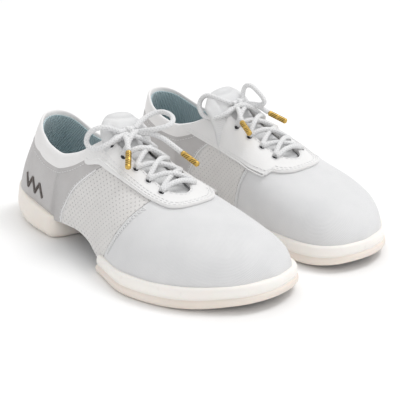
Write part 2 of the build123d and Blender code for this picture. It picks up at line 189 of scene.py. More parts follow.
def heel_round(s, back):
    """How far the heel's rounding has closed the section at a station."""
    return math.sqrt(clamp(1 - clamp((HEEL_S - s) / (HEEL_S - back)) ** 2.2))


def side_point(s, z, side, inset=0.0):
    """Point of the upper at a station and height, on the medial (+1) or lateral (-1) side."""
    middle, half, high = section(s, z, inset)
    heel = heel_round(s, heel_back(z) + inset)
    return (s, middle + side * half * arch(z, high) * heel, z)


def heel_turn(beta, z, inset):
    """Point round the heel at height z, from the lateral side at 0 to the medial side at pi."""
    back = heel_back(z) + inset
    s = HEEL_S - (HEEL_S - back) * abs(math.sin(beta)) ** 0.909
    middle, half, high = section(s, z, inset)
    return (s, middle - half * arch(z, high) * math.cos(beta), z)


def top_z(s, w, inset=0.0):
    """Height of the upper over a plan position."""
    low, high = BASE_Z, ridge(s, inset)
    for _ in range(28):
        z = (low + high) / 2
        p, q = side_point(s, z, -1, inset)[1], side_point(s, z, 1, inset)[1]
        if p < w < q:
            low = z
        else:
            high = z
    return low


def around(p, z, inset=0.0):
    """Point of the upper at height z, at p along the topline from lateral front to medial front.

    p is 0 at the collar's front on the lateral side, 1 and 2 where the heel's rounding starts
    and ends, and 3 at the collar's front on the medial side."""
    if 1 < p < 2:
        return heel_turn((p - 1) * math.pi, z, inset)
    f = p if p <= 1 else 3 - p
    return side_point(COLLAR_S - (COLLAR_S - HEEL_S) * f, z, -1 if p <= 1 else 1, inset)


# ------------------------------------------------------------------ mesh helpers
def to_frame(p, side):
    x = (p[1] - SPACING) * MM
    return Vector((x if side > 0 else -x, (LENGTH / 2 - p[0]) * MM, p[2] * MM))


def new_object(name, mesh, materials):
    obj = bpy.data.objects.new(name, mesh)
    scene.collection.objects.link(obj)
    for material in materials:
        mesh.materials.append(getattr(material, "material", material))
    mesh.shade_smooth()
    return obj


def make(name, side, verts, faces, materials, uvs=None, face_mats=None):
    """Mesh object from shoe points, mirrored for the left shoe."""
    mesh = bpy.data.meshes.new(name)
    if side < 0:
        faces = [tuple(reversed(f)) for f in faces]
    mesh.from_pydata([to_frame(v, side) for v in verts], [], faces)
    if face_mats:
        for poly, index in zip(mesh.polygons, face_mats):
            poly.material_index = index
    if uvs:
        layer = mesh.uv_layers.new(name="surface")
        for loop in mesh.loops:
            layer.data[loop.index].uv = uvs[loop.vertex_index]
    return new_object(name, mesh, materials)


def bake(obj):
    """Apply the object's modifiers to its mesh."""
    bpy.context.view_layer.update()
    graph = bpy.context.evaluated_depsgraph_get()
    mesh = bpy.data.meshes.new_from_object(obj.evaluated_get(graph))
    obj.modifiers.clear()
    obj.data = mesh
    mesh.shade_smooth()
    return obj


def base_grid(inset, stations, rings=84, from_edge=False):
    """The whole upper as a quad grid: points, surface coordinates and faces.

    The second coordinate runs from the instep's ridge, or from each bottom edge."""
    rounded = 0.955  # share of each half's rings above the straight bottom edge
    verts, uvs, faces = [], [], []
    for s in stations:
        row = []
        for k in range(2 * rings + 1):
            t = k / rings - 1
            side = -1 if t < 0 else 1
            a = abs(t) / rounded
            high = ridge(clamp(s, 66 - inset, 300), inset)
            angle = min(a, 1) * math.pi / 2
            if a <= 1:
                z = BASE_Z + (high - BASE_Z) * math.cos(angle) ** 0.8
            else:
                z = BASE_Z - 5 * (a - 1) / (1 / rounded - 1)
            middle, half, _ = section(s, z, inset)
            row.append((s, middle + side * half * math.sin(angle) ** 0.87, z))
        v = [0.0]
        for p, q in zip(row, row[1:]):
            v.append(v[-1] + math.dist(p, q))
        centre = v[rings]
        verts += row
        if from_edge:
            uvs += [(s, min(x, v[-1] - x)) for x in v]
        else:
            uvs += [(s, x - centre) for x in v]
    n = 2 * rings + 1
    for i in range(len(stations) - 1):
        for k in range(n - 1):
            a = i * n + k
            faces.append((a, a + n, a + n + 1, a + 1))
    heights = [k for k in range(n) if verts[k][2] < 90 and k < rings]
    first = len(verts)
    steps = 40
    for k in heights:
        z = verts[k][2]
        line = [heel_turn(math.pi * j / steps, z, inset) for j in range(steps + 1)]
        run = 0.0
        for last, p in zip(line[:1] + line, line):
            run += math.dist(p, last)
            verts.append(p)
            uvs.append((HEEL_S - run, z - 80))
    m = steps + 1
    for i in range(len(heights) - 1):
        for j in range(steps):
            a = first + i * m + j
            faces.append((a, a + m, a + m + 1, a + 1))
    return verts, uvs, faces


def clip(grid, fields):
    """Keep the part of a grid where every field of (s, w, z) is positive."""
    verts, uvs, faces = list(grid[0]), list(grid[1]), grid[2]
    for field in fields:
        value = [field(*p) for p in verts]
        cuts, kept = {}, []
        for face in faces:
            if all(value[i] >= 0 for i in face):
                kept.append(face)
                continue
            if all(value[i] < 0 for i in face):
                continue
            poly = []
            for i, a in enumerate(face):
                b = face[(i + 1) % len(face)]
                if value[a] >= 0:
                    poly.append(a)
                if (value[a] >= 0) != (value[b] >= 0):
                    key = (min(a, b), max(a, b))
                    if key not in cuts:
                        f = clamp(value[a] / (value[a] - value[b]), 0.02, 0.98)
                        cuts[key] = len(verts)
                        verts.append(tuple(x + (y - x) * f for x, y in zip(verts[a], verts[b])))
                        uvs.append(tuple(x + (y - x) * f for x, y in zip(uvs[a], uvs[b])))
                        value.append(0.0)
                    poly.append(cuts[key])
            if len(poly) > 2:
                kept.append(tuple(poly))
        faces = kept
    used = sorted({i for f in faces for i in f})
    index = {old: new for new, old in enumerate(used)}
    return ([verts[i] for i in used], [uvs[i] for i in used],
            [tuple(index[i] for i in f) for f in faces])


def swell(obj, voxel, cap):
    """Puff a padded piece by cloth simulation, moving each point by no more than the cap (mm)."""
    pad = obj.copy()
    pad.data = obj.data.copy()
    scene.collection.objects.link(pad)
    remesh = pad.modifiers.new("even", "REMESH")
    remesh.mode, remesh.voxel_size = "VOXEL", voxel * MM
    bake(pad)
    rest = [v.co.copy() for v in pad.data.vertices]
    cloth = pad.modifiers.new("cloth", "CLOTH")
    cloth.settings.use_pressure = True
    cloth.settings.uniform_pressure_force = 4
    cloth.settings.effector_weights.gravity = 0
    cloth.point_cache.frame_end = 20
    for frame_number in range(1, 21):
        scene.frame_set(frame_number)
    graph = bpy.context.evaluated_depsgraph_get()
    puffed = pad.evaluated_get(graph)
    moves = [v.co - r for v, r in zip(puffed.data.vertices, rest)]
    tree = kdtree.KDTree(len(rest))
    for i, r in enumerate(rest):
        tree.insert(r, i)
    tree.balance()
    for v in obj.data.vertices:
        near = tree.find_n(v.co, 6)
        move = sum((moves[i] for _, i, _ in near), Vector()) / len(near)
        if move.length > cap * MM:
            move *= cap * MM / move.length
        v.co += move
    bpy.data.objects.remove(pad)
    scene.frame_set(1)
    return obj


def panel(name, side, cut, material, lift, thickness):
    """Fabric or leather panel with real thickness and rounded edges, laid on the form."""
    verts, uvs, faces = cut
    obj = make(name, side, verts, faces, [material], uvs)
    bm = bmesh.new()
    bm.from_mesh(obj.data)
    bmesh.ops.remove_doubles(bm, verts=bm.verts, dist=0.02 * MM)
    edge = [v for v in bm.verts if v.is_boundary]
    bmesh.ops.remove_doubles(bm, verts=edge, dist=0.6 * MM)
    bmesh.ops.dissolve_degenerate(bm, edges=bm.edges, dist=0.05 * MM)
    bm.normal_update()
    for v in bm.verts:
        v.co += v.normal * lift * MM
    bm.to_mesh(obj.data)
    bm.free()
    solid = obj.modifiers.new("thickness", "SOLIDIFY")
    solid.thickness, solid.offset = thickness * MM, -1.0
    rounding = obj.modifiers.new("edge", "BEVEL")
    rounding.width, rounding.segments, rounding.limit_method = EDGE_ROUND * MM, 2, "ANGLE"
    rounding.angle_limit = math.radians(50)
    bake(obj).data.set_sharp_from_angle(angle=math.radians(60))
    return obj


def tube_mesh(routes, radius, around_n=14, closed=False):
    """Round cord along smooth point lists: points, surface coordinates and faces, in metres."""
    verts, uvs, faces = [], [], []
    for route in routes:
        points = [Vector(p) for p in route]
        count = len(points)
        first, run = len(verts), 0.0
        normal = None
        for i, p in enumerate(points):
            ahead = points[(i + 1) % count] if closed else points[min(i + 1, count - 1)]
            behind = points[i - 1] if closed else points[max(i - 1, 0)]
            tangent = (ahead - behind).normalized()
            if normal is None:
                normal = tangent.orthogonal().normalized()
            normal = (normal - tangent * normal.dot(tangent)).normalized()
            other = tangent.cross(normal)
            run += (p - points[i - 1]).length if i else 0
            for k in range(around_n):
                angle = 2 * math.pi * k / around_n
                verts.append(p + (normal * math.cos(angle) + other * math.sin(angle)) * radius)
                uvs.append((run / MM, 24 * k / around_n))
        for i in range(count if closed else count - 1):
            for k in range(around_n):
                a, b = first + i * around_n + k, first + i * around_n + (k + 1) % around_n
                c = first + ((i + 1) % count) * around_n
                faces.append((a, b, c + (k + 1) % around_n, c + k))
        if not closed:
            faces.append(tuple(first + k for k in reversed(range(around_n))))
            last = first + (count - 1) * around_n
            faces.append(tuple(last + k for k in range(around_n)))
    return verts, uvs, faces


def tube_object(name, routes, radius, material):
    """Object of round cords, with the surface coordinates closed round each cord's seam."""
    verts, uvs, faces = tube_mesh(routes, radius)
    mesh = bpy.data.meshes.new(name)
    mesh.from_pydata(verts, [], faces)
    layer = mesh.uv_layers.new(name="surface")
    for poly in mesh.polygons:
        row = [mesh.loops[i].vertex_index for i in poly.loop_indices]
        high = max(uvs[v][1] for v in row)
        for i, v in zip(poly.loop_indices, row):
            u, w = uvs[v]
            layer.data[i].uv = (u, w + 24 if high - w > 12 else w)
    return new_object(name, mesh, [material])


def smooth_route(name, points, side, fine=9):
    """Points along the smooth curve that a lace follows through its given points."""
    curve = bpy.data.curves.new(name, "CURVE")
    curve.dimensions = "3D"
    curve.resolution_u = fine
    spline = curve.splines.new("NURBS")
    spline.points.add(len(points) - 1)
    for point, p in zip(spline.points, points):
        point.co = (*to_frame(p, side), 1.0)
    spline.order_u = 3
    spline.use_endpoint_u = True
    holder = bpy.data.objects.new(name, curve)
    mesh = bpy.data.meshes.new_from_object(holder)
    line = [v.co.copy() for v in mesh.vertices]
    bpy.data.objects.remove(holder)
    bpy.data.curves.remove(curve)
    bpy.data.meshes.remove(mesh)
    return line


def walk(points, step):
    """Places a fixed distance apart along a line: the point and the direction there."""
    out, need = [], step / 2
    for p, q in zip(points, points[1:]):
        p, q = Vector(p), Vector(q)
        length = (q - p).length
        if length < 1e-9:
            continue
        way = (q - p) / length
        while need <= length:
            out.append((p + way * need, way))
            need += step
        need -= length
    return out


def capsules(items, radius):
    """Rounded thread stitches: each item is a centre, a direction and a length."""
    verts, faces = [], []
    for centre, way, length in items:
        a = way.orthogonal().normalized()
        b = way.cross(a)
        first = len(verts)
        rings = ((-0.5, 0.35), (-0.38, 0.85), (-0.15, 1.0), (0.15, 1.0), (0.38, 0.85), (0.5, 0.35))
        for place, fat in rings:
            for k in range(6):
                t = math.pi * k / 3
                verts.append(centre + way * length * place
                             + (a * math.cos(t) + b * math.sin(t)) * radius * fat)
        for i in range(len(rings) - 1):
            for k in range(6):
                p = first + i * 6
                faces.append((p + k, p + (k + 1) % 6, p + 6 + (k + 1) % 6, p + 6 + k))
        faces.append(tuple(first + k for k in reversed(range(6))))
        faces.append(tuple(first + 30 + k for k in range(6)))
    return [tuple(v) for v in verts], faces


def stitches(name, side, lines, material, length=2.3, gap=1.0, radius=0.33):
    """One object of run stitches along shoe-space lines."""
    items = []
    for line in lines:
        items += [(p, way, length) for p, way in walk(line, length + gap)]
    verts, faces = capsules(items, radius)
    return make(name, side, verts, faces, [material])


def closed_curve(points, steps):
    """Smooth closed curve through points."""
    n, out = len(points), []
    for i in range(n):
        p0, p1, p2, p3 = (Vector(points[(i + k) % n]) for k in (-1, 0, 1, 2))
        for j in range(steps):
            t = j / steps
            out.append(tuple(0.5 * (2 * p1 + (p2 - p0) * t + (2 * p0 - 5 * p1 + 4 * p2 - p3) * t * t
                                    + (3 * p1 - p0 - 3 * p2 + p3) * t ** 3)))
    return out


def from_gap(points):
    """Points of an open line kept from a closed one, in order from one end to the other."""
    split = max(range(len(points)),
                key=lambda i: math.dist(points[i], points[(i + 1) % len(points)]))
    return points[split + 1:] + points[:split + 1]


def turning(outline):
    """Twice the area of a closed outline, positive when it runs anticlockwise."""
    return sum(p[0] * q[1] - q[0] * p[1] for p, q in zip(outline, outline[1:] + outline[:1]))


def inside_distance(outline, x, y):
    """Distance from an outline, positive inside it."""
    inside, best = False, 1e9
    for (ax, ay), (bx, by) in zip(outline, outline[1:] + outline[:1]):
        if (ay > y) != (by > y) and x < ax + (bx - ax) * (y - ay) / (by - ay):
            inside = not inside
        dx, dy = bx - ax, by - ay
        t = clamp(((x - ax) * dx + (y - ay) * dy) / max(dx * dx + dy * dy, 1e-9))
        best = min(best, math.hypot(x - ax - t * dx, y - ay - t * dy))
    return best if inside else -best


# ------------------------------------------------------------------ materials
class Look:
    """Small helper that builds one procedural material."""

    def __init__(self, name, colour, roughness, **sockets):
        self.material = bpy.data.materials.new(name)
        self.material.use_nodes = True
        self.nodes, self.links = self.material.node_tree.nodes, self.material.node_tree.links
        self.shader = self.nodes["Principled BSDF"]
        self.shader.inputs["Base Color"].default_value = (*colour, 1)
        self.shader.inputs["Roughness"].default_value = roughness
        self.material.diffuse_color = (*colour, 1)
        for key, value in sockets.items():
            self.shader.inputs[key.replace("_", " ")].default_value = value
        self.colour = colour
        self.place = self.nodes.new("ShaderNodeTexCoord")

    def math(self, operation, a, b=None, c=None):
        node = self.nodes.new("ShaderNodeMath")
        node.operation = operation
        for socket, value in zip(node.inputs, (a, b, c)):
            if value is None:
                continue
            if isinstance(value, (int, float)):
                socket.default_value = value
            else:
                self.links.new(value, socket)
        return node.outputs[0]

    def noise(self, scale, detail=3.0, source="Object"):
        node = self.nodes.new("ShaderNodeTexNoise")
        node.inputs["Scale"].default_value = scale
        node.inputs["Detail"].default_value = detail
        self.links.new(self.place.outputs[source], node.inputs["Vector"])
        return node.outputs["Fac"]

    def uv(self):
        """The two surface coordinates, in millimetres."""
        split = self.nodes.new("ShaderNodeSeparateXYZ")
        self.links.new(self.place.outputs["UV"], split.inputs[0])
        return split.outputs[0], split.outputs[1]

    def tint(self, factor, other, low=0.0, high=1.0):
        """Mix the colour so far toward another one by a pattern."""
        ramp = self.nodes.new("ShaderNodeMapRange")
        ramp.inputs["From Min"].default_value = low
        ramp.inputs["From Max"].default_value = high
        self.links.new(factor, ramp.inputs["Value"])
        mix = self.nodes.new("ShaderNodeMix")
        mix.data_type = "RGBA"
        self.links.new(ramp.outputs[0], mix.inputs["Factor"])
        base = self.shader.inputs["Base Color"]
        if base.links:
            self.links.new(base.links[0].from_socket, mix.inputs["A"])
        else:
            mix.inputs["A"].default_value = (*self.colour, 1)
        mix.inputs["B"].default_value = (*other, 1)
        self.links.new(mix.outputs["Result"], base)
        return self

    def bump(self, height, depth, strength=1.0):
        """Raise the surface by a pattern, depth in millimetres."""
        node = self.nodes.new("ShaderNodeBump")
        node.inputs["Strength"].default_value = strength
        node.inputs["Distance"].default_value = depth * MM
        self.links.new(height, node.inputs["Height"])
        normal = self.shader.inputs["Normal"]
        if normal.links:
            self.links.new(normal.links[0].from_socket, node.inputs["Normal"])
        self.links.new(node.outputs[0], normal)
        return self

    def rough(self, factor, low, high):
        ramp = self.nodes.new("ShaderNodeMapRange")
        ramp.inputs["To Min"].default_value = low
        ramp.inputs["To Max"].default_value = high
        self.links.new(factor, ramp.inputs["Value"])
        self.links.new(ramp.outputs[0], self.shader.inputs["Roughness"])
        return self

    def weave(self, pitch):
        """Over and under threads of a plain weave."""
        u, v = self.uv()
        a = self.math("SINE", self.math("MULTIPLY", u, 2 * math.pi / pitch))
        b = self.math("SINE", self.math("MULTIPLY", v, 2 * math.pi / pitch))
        return self.math("MULTIPLY_ADD", self.math("MULTIPLY", a, b), 0.5, 0.5)

    def dots(self, pitch, size):
        """Staggered rows of small round holes."""
        u, v = self.uv()
        a = self.math("MULTIPLY", self.math("ADD", u, v), 0.7071 / pitch)
        b = self.math("MULTIPLY", self.math("SUBTRACT", u, v), 0.7071 / pitch)
        x = self.math("SUBTRACT", self.math("FRACT", a), 0.5)
        y = self.math("SUBTRACT", self.math("FRACT", b), 0.5)
        far = self.math("SQRT", self.math("ADD", self.math("MULTIPLY", x, x),
                                          self.math("MULTIPLY", y, y)))
        return self.math("SUBTRACT", 1.0, self.math("SMOOTH_MIN", self.math(
            "DIVIDE", far, size / pitch), 1.0, 0.15))

    def braid(self, pitch):
        """Two sets of strands running round a cord in opposite turns."""
        u, v = self.uv()
        wide = self.math("MULTIPLY", v, 2 * math.pi * 4 / 24)
        long = self.math("MULTIPLY", u, 2 * math.pi / pitch)
        a = self.math("SINE", self.math("ADD", long, wide))
        b = self.math("SINE", self.math("SUBTRACT", long, wide))
        return self.math("MULTIPLY_ADD", self.math("MAXIMUM", a, b), 0.5, 0.5)


def cloth_look(name, colour, shade, pitch, depth, roughness=0.85, sheen=0.3):
    look = Look(name, colour, roughness, Sheen_Weight=sheen, Sheen_Roughness=0.4)
    weave = look.weave(pitch)
    look.tint(look.noise(60), shade, 0.35, 0.8)
    # the weave's under threads are tinted darker as painted shade in the weave's hollows
    look.tint(look.math("SUBTRACT", 1.0, weave), tuple(c * 0.8 for c in shade), 0.35, 1.6)
    look.bump(look.noise(420, 2.0), 0.12, 0.5)
    look.bump(weave, depth)
    return look


def leather_look(name, colour, shade, roughness=0.42):
    look = Look(name, colour, roughness, Coat_Weight=0.12, Coat_Roughness=0.35)
    look.tint(look.noise(35), shade, 0.4, 0.85)
    cells = look.nodes.new("ShaderNodeTexVoronoi")
    cells.inputs["Scale"].default_value = 1100
    look.links.new(look.place.outputs["Object"], cells.inputs["Vector"])
    grain = cells.outputs["Distance"]
    look.rough(look.noise(90), roughness - 0.08, roughness + 0.12)
    look.bump(grain, 0.09, 0.6)
    look.bump(look.noise(160, 4.0), 0.25, 0.5)
    return look


def rubber_look(name, colour, shade, roughness=0.5):
    look = Look(name, colour, roughness, Subsurface_Weight=0.06, Subsurface_Scale=0.002)
    look.tint(look.noise(28), shade, 0.35, 0.8)
    look.tint(look.noise(240, 5.0), tuple(c * 0.93 for c in shade), 0.62, 0.95)
    look.rough(look.noise(70), roughness - 0.08, roughness + 0.14)
    look.bump(look.noise(900, 3.0), 0.05, 0.5)
    look.bump(look.noise(60, 2.0), 0.12, 0.4)
    return look


vamp_cloth = cloth_look("vamp knit", (0.80, 0.80, 0.805), (0.75, 0.752, 0.76), 0.95, 0.16, sheen=0.3)
# the quarter's colour is its own pinkish grey, darkened in part as painted shade of the heel side
quarter_cloth = cloth_look("quarter textile", (0.60, 0.587, 0.583), (0.54, 0.522, 0.518), 0.8, 0.1)
panel_cloth = cloth_look("perforated textile", (0.80, 0.785, 0.77), (0.75, 0.735, 0.72), 0.7, 0.08)
# the round holes are tinted dark as painted shade inside them; the bump also presses them in
holes = panel_cloth.dots(3.1, 0.62)
panel_cloth.tint(holes, (0.42, 0.41, 0.41), 0.1, 0.8).bump(holes, -0.5)
tongue_cloth = cloth_look("tongue textile", (0.80, 0.80, 0.80), (0.74, 0.745, 0.755), 0.9, 0.12,
                          sheen=0.4)
lining_cloth = cloth_look("ribbed lining", (0.54, 0.69, 0.73), (0.46, 0.60, 0.64), 0.9, 0.1,
                          sheen=0.5)
# the rib grooves are tinted darker as painted shade, and pressed in by the bump
ribs = lining_cloth.math("SINE", lining_cloth.math("MULTIPLY", lining_cloth.uv()[0], 2.6))
lining_cloth.tint(ribs, (0.37, 0.50, 0.54), 0.2, 1.8).bump(ribs, -0.3)
bed_cloth = cloth_look("footbed cloth", (0.52, 0.54, 0.55), (0.44, 0.46, 0.47), 1.2, 0.15)
collar_leather = leather_look("collar leather", (0.86, 0.85, 0.845), (0.81, 0.795, 0.79), 0.5)
eyestay_leather = leather_look("lace stay leather", (0.84, 0.835, 0.83), (0.79, 0.78, 0.775), 0.4)
heel_rubber = rubber_look("heel rubber", (0.89, 0.84, 0.78), (0.85, 0.785, 0.715), 0.42)
band_rubber = rubber_look("sole band rubber", (0.94, 0.91, 0.87), (0.90, 0.865, 0.82), 0.5)
rim_rubber = rubber_look("sole rim rubber", (0.85, 0.775, 0.705), (0.80, 0.72, 0.645), 0.5)
thread = Look("thread", (0.82, 0.82, 0.82), 0.7, Sheen_Weight=0.3)
thread.tint(thread.noise(700), (0.70, 0.70, 0.71), 0.4, 0.8).bump(thread.noise(2600), 0.06)
embroidery = Look("embroidery thread", (0.05, 0.035, 0.03), 0.5, Sheen_Weight=0.4)
embroidery.tint(embroidery.noise(500), (0.10, 0.07, 0.055), 0.4, 0.8)
embroidery.bump(embroidery.noise(2600), 0.06)
lace_cloth = Look("lace braid", (0.82, 0.82, 0.82), 0.8, Sheen_Weight=0.3)
strands = lace_cloth.braid(2.2)
# the gaps between the braid's strands are tinted darker as painted shade
lace_cloth.tint(lace_cloth.math("SUBTRACT", 1.0, strands), (0.60, 0.60, 0.61), 0.35, 1.3)
lace_cloth.tint(lace_cloth.noise(120), (0.76, 0.765, 0.775), 0.4, 0.8)
lace_cloth.bump(strands, 0.32)
brass = Look("aglet brass", (0.66, 0.44, 0.12), 0.28, Metallic=1.0)
brass.tint(brass.noise(300), (0.50, 0.32, 0.08), 0.45, 0.85).rough(brass.noise(500), 0.22, 0.42)
# darker brass for the knurl's grooves: painted shade in the grooves
knurl_shade_brass = Look("aglet groove", (0.16, 0.10, 0.04), 0.5, Metallic=0.7)
knurl_shade_brass.tint(knurl_shade_brass.noise(600), (0.06, 0.04, 0.02), 0.3, 0.8)
hole_dark = Look("eyelet shade", (0.03, 0.03, 0.035), 0.9)
hole_dark.tint(hole_dark.noise(500), (0.07, 0.07, 0.08), 0.4, 0.8)
board = Look("arch textile", (0.035, 0.035, 0.038), 0.8, Sheen_Weight=0.2)
board.tint(board.noise(300), (0.06, 0.06, 0.065), 0.4, 0.8).bump(board.noise(1500), 0.15)
stiff = Look("stiffener board", (0.55, 0.50, 0.43), 0.7)
stiff.tint(stiff.noise(200), (0.46, 0.41, 0.34), 0.4, 0.8).bump(stiff.noise(900), 0.1)

# ------------------------------------------------------------------ the upper, cut once
STATIONS = [38 + 152 * i / 84 for i in range(85)]
STATIONS += [190 + 57.1 * math.sin(math.pi / 2 * i / 36) for i in range(1, 37)]
outer = base_grid(0.0, STATIONS)
sides = base_grid(0.0, STATIONS, from_edge=True)
inner = base_grid(3.2, [s for s in STATIONS if s < 240])
eyestay_outline = closed_curve(EYESTAY, 7)


def throat_points(half, corner_s, corner, front):
    """Outline of the throat: its half width, its front corners' place, and its front end."""
    row = [(s, half) for s in (70, 92, 130, 160)] + [(corner_s, corner)]
    return ([(s, THROAT_W - w) for s, w in row] + [(front, THROAT_W)]
            + [(s, THROAT_W + w) for s, w in reversed(row)])


throat_outline = closed_curve(throat_points(10, 169, 7, 173), 6)


def over_board(s, w, z):
    return z - underside(s) - 0.3


def under_collar(s, w, z):
    return collar_line(s) - 4 - z


def under_line(s, w, z):
    return collar_line(s) + 0.5 - z if s < COLLAR_S else FAR


def past_quarter(s, w, z):
    return s - quarter_seam(z) - SEAM_GAP


def over_footbed(s, w, z):
    return z - underside(s) - 2


def off_throat(s, w, z):
    if z < 40 or s < 60 or s > 180:
        return FAR
    return -inside_distance(throat_outline, s, w) - 0.8


def off_tongue(s, w, z):
    if z < 40 or s < 60 or s > 184:
        return FAR
    return -inside_distance(throat_outline, s, w) - 9


def in_eyestay(s, w, z):
    if z < 40 or s < 74 or s > 190:
        return -FAR
    edge = -inside_distance(throat_outline, s, w)
    if s < COLLAR_S:
        edge = min(edge, under_line(s, w, z))
    if w > 20 and s < 171:
        return min(edge, z - stay_medial(s), s - 75)
    if w > THROAT_W and s < 110:
        return min(edge, s - 75)
    return min(inside_distance(eyestay_outline, s, w), edge)


def vamp_seam(w, z):
    return vamp_lat(z) if w < THROAT_W else vamp_med(z)


CUTS = {
    "quarter": clip(outer, [over_board, under_collar, off_throat,
                            lambda s, w, z: quarter_seam(z) - 0.25 - s,
                            lambda s, w, z: collar_line(s) + 1 - z]),
    "vamp": clip(outer, [over_board, off_throat,
                         lambda s, w, z: s - vamp_seam(w, z) - SEAM_GAP]),
    "eyestay": clip(outer, [in_eyestay]),
    "heel_lining": clip(inner, [over_footbed, lambda s, w, z: COLLAR_S - s, off_tongue,
                                lambda s, w, z: collar_line(s) - 1.5 - z]),
    "vamp_lining": clip(inner, [over_footbed, lambda s, w, z: s - (COLLAR_S + SEAM_GAP), off_tongue]),
}
for word, seam, way in (("lateral", vamp_lat, -1), ("medial", vamp_med, 1)):
    CUTS["midfoot_" + word] = clip(sides, [over_board, off_throat, past_quarter,
                                           lambda s, w, z: seam(z) - SEAM_GAP - s,
                                           lambda s, w, z: way * (w - THROAT_W), under_line])

RIGHT_ROUTES = {
    "lace_loop_lateral": ((113.5, -0.5, 83), (110, -6, 86.5), (106, -13, 88), (101.5, -18.5, 84.5),
                          (99.5, -20.5, 78), (103.5, -20.5, 73.8), (111, -19, 74.5),
                          (117, -13.5, 79), (118.5, -6, 82.5), (114.5, -0.5, 81.5)),
    "lace_loop_medial": ((113.5, 10.5, 83.5), (110.5, 18, 86.5), (110, 26.5, 89.5),
                         (113.5, 34, 91.5), (122, 35.5, 91), (131, 31.5, 89.5),
                         (134.5, 23.5, 87.5), (129, 15.5, 85.5), (121, 12, 83.5),
                         (115, 10, 81.5)),
    "lace_end_lateral": ((116.5, -0.5, 80.5), (121, -3, 82.5), (126.5, -5.5, 80.5),
                         (131, -8.5, 76), (141.3, -17.2, 68.3)),
    "lace_end_medial": ((117, 10, 80.5), (124, 14, 82.5), (132.5, 18.5, 80.5), (141, 21.8, 75.6),
                        (147.5, 23.7, 72), (161.5, 26.5, 65.9)),
}
LEFT_ROUTES = {
    "lace_loop_lateral": ((112, -0.5, 83.5), (108.5, -3.5, 89), (110, -5, 94.5), (116, -5.5, 95),
                          (122, -5.5, 92), (128, -5.5, 88.5), (130.5, -5.5, 84.5),
                          (126, -4.5, 82), (120, -2.5, 82.5), (115, -0.5, 81.5)),
    "lace_loop_medial": ((112, 10.5, 83), (108, 16, 85.5), (101.5, 19.5, 88), (95, 21, 88.5),
                         (90.5, 23, 84.5), (91.5, 25.5, 78.5), (97.5, 27, 74),
                         (105.5, 27, 73), (112.5, 24, 75.5), (116.5, 17.5, 79.5),
                         (115, 10.5, 81)),
    "lace_end_lateral": ((116.5, -0.5, 80.5), (122, -2.5, 82.5), (127.5, -5.5, 80), (131.5, -8, 77),
                         (144.5, -14.5, 71.3)),
    "lace_end_medial": ((117, 10, 80.5), (122, 13.5, 81.5), (127, 17, 79), (131.5, 19.8, 75.5),
                        (145.2, 24.3, 69.9)),
}
MARK = ((27, 37), (32, 28.5), (36.5, 36), (42, 26.5), (47, 34), (53, 25.5))


# ------------------------------------------------------------------ pieces
def settle(obj, foot, nodes, body="bend"):
    """Give a piece its place: the CAD nodes it stands for, and what it moves with."""
    if nodes:
        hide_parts(*[foot + "_" + n for n in nodes])
    if body == "bend":
        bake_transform(obj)
    else:
        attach(obj, foot + "_" + body)
    return obj


def loft(rings, capped=True):
    """Points and faces of a skin over closed rings of equal point counts."""
    n, faces = len(rings[0]), []
    for i in range(len(rings) - 1):
        for k in range(n):
            a, b = i * n + k, i * n + (k + 1) % n
            faces.append((a, b, b + n, a + n))
    verts = [p for ring in rings for p in ring]
    if capped:
        faces.append(tuple(range(n)))
        faces.append(tuple(reversed(range(len(verts) - n, len(verts)))))
    return verts, faces


def outward(obj, join=False):
    """Turn a closed mesh's faces outward, first joining its two open ends to each other if asked."""
    bm = bmesh.new()
    bm.from_mesh(obj.data)
    if join:
        loops = [e for e in bm.edges if e.is_boundary]
        bmesh.ops.triangle_fill(bm, edges=loops, use_beauty=True, use_dissolve=False)
    bmesh.ops.recalc_face_normals(bm, faces=bm.faces)
    bm.to_mesh(obj.data)
    bm.free()
    return obj


